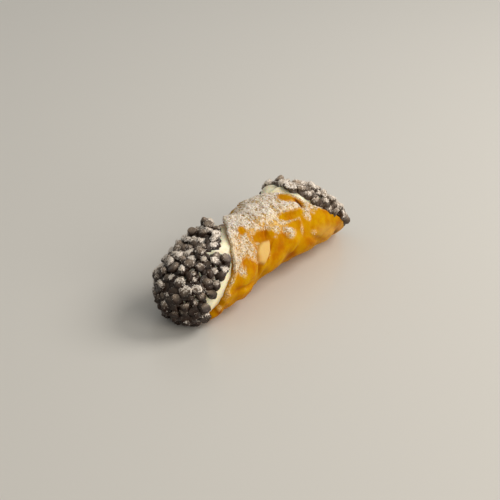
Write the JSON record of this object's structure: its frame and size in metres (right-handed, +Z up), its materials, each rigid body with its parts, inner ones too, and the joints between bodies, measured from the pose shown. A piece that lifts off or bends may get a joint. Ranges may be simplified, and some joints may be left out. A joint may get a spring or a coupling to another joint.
{
  "type": "cannoli",
  "caption": "Filled pastry tube lying on its side, rolled corner to corner, with cream bulging from both ends under coats of small dark chips.",
  "frame": {"origin": "centre of the bounding box in plan, at the level the pastry rests on", "axes": "+X along the tube from the end with the shorter, steeper rim to the end with the long slanted rim, -Y towards the front where the long line of the roll lies low, +Z up"},
  "size_m": [0.1324, 0.039, 0.0395],
  "materials": {
    "pastry": "fried pastry, blistered, dusted with icing sugar",
    "cream": "smooth piped ivory cream, slightly glossy",
    "chips_left": "small dark chocolate chips, satin, dusted with icing sugar",
    "chips_right": "small dark chocolate chips, satin, dusted with icing sugar"
  },
  "bodies": {
    "root": {"pastry_shell": "pastry", "cream_filling": "cream", "chip_coat_left": "chips_left", "chip_coat_right": "chips_right"}
  },
  "joints": []
}
